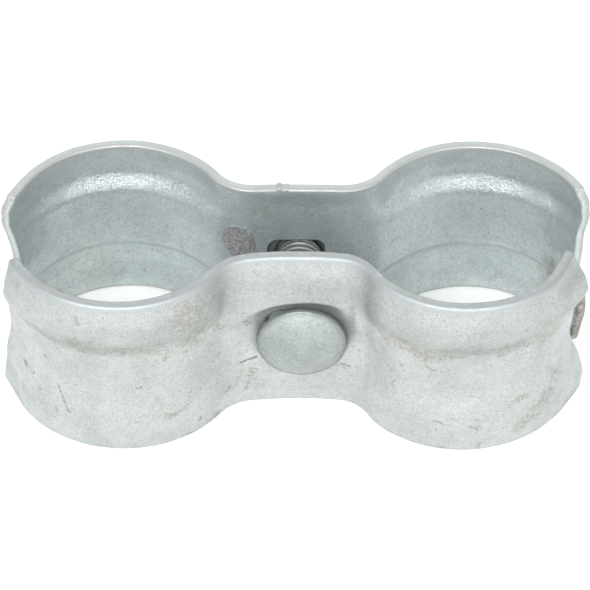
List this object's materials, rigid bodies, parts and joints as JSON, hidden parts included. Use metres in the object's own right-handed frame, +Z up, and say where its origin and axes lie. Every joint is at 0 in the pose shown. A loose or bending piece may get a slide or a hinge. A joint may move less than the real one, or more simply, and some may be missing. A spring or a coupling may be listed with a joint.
{
  "type": "two-tube clamp",
  "caption": "Pressed galvanised clamp that holds two parallel scaffold tubes between a pair of strip halves drawn together by a cup-head bolt and hex nut.",
  "frame": {"origin": "centre of the footprint, on the plane that the lower edges of both strips stand on", "axes": "+X across the two tubes, +Y along the bolt from head to nut, +Z up along the tubes"},
  "size_m": [0.1346, 0.0564, 0.045],
  "materials": {
    "galvanised_strip": "hot-dip galvanised pressed steel, pale matte zinc with faint mottling and soft dents",
    "galvanised_bolt": "hot-dip galvanised bolt and nut, satin grey zinc"
  },
  "bodies": {
    "front_half": {"front_clamp_half": "galvanised_strip"},
    "bolt": {"cup_head_bolt": "galvanised_bolt"},
    "rear_half": {"rear_clamp_half": "galvanised_strip"},
    "nut": {"hex_nut": "galvanised_bolt"}
  },
  "joints": [
    {"name": "bolt_push", "type": "slide", "parent": "front_half", "child": "bolt", "axis": [0, 1, 0], "range_m": [-0.003, 0]},
    {"name": "rear_half_slide", "type": "slide", "parent": "bolt", "child": "rear_half", "axis": [0, 1, 0], "range_m": [-0.006, 0.0048]},
    {"name": "nut_turn", "type": "hinge", "parent": "rear_half", "child": "nut", "pos_m": [0, 0.0134, 0.0225], "axis": [0, 1, 0], "range_deg": [-1440, 1152]}
  ],
  "couplings": [
    {"joint": "nut_turn", "follows": "rear_half_slide", "rad_per_m": 4188.8}
  ]
}
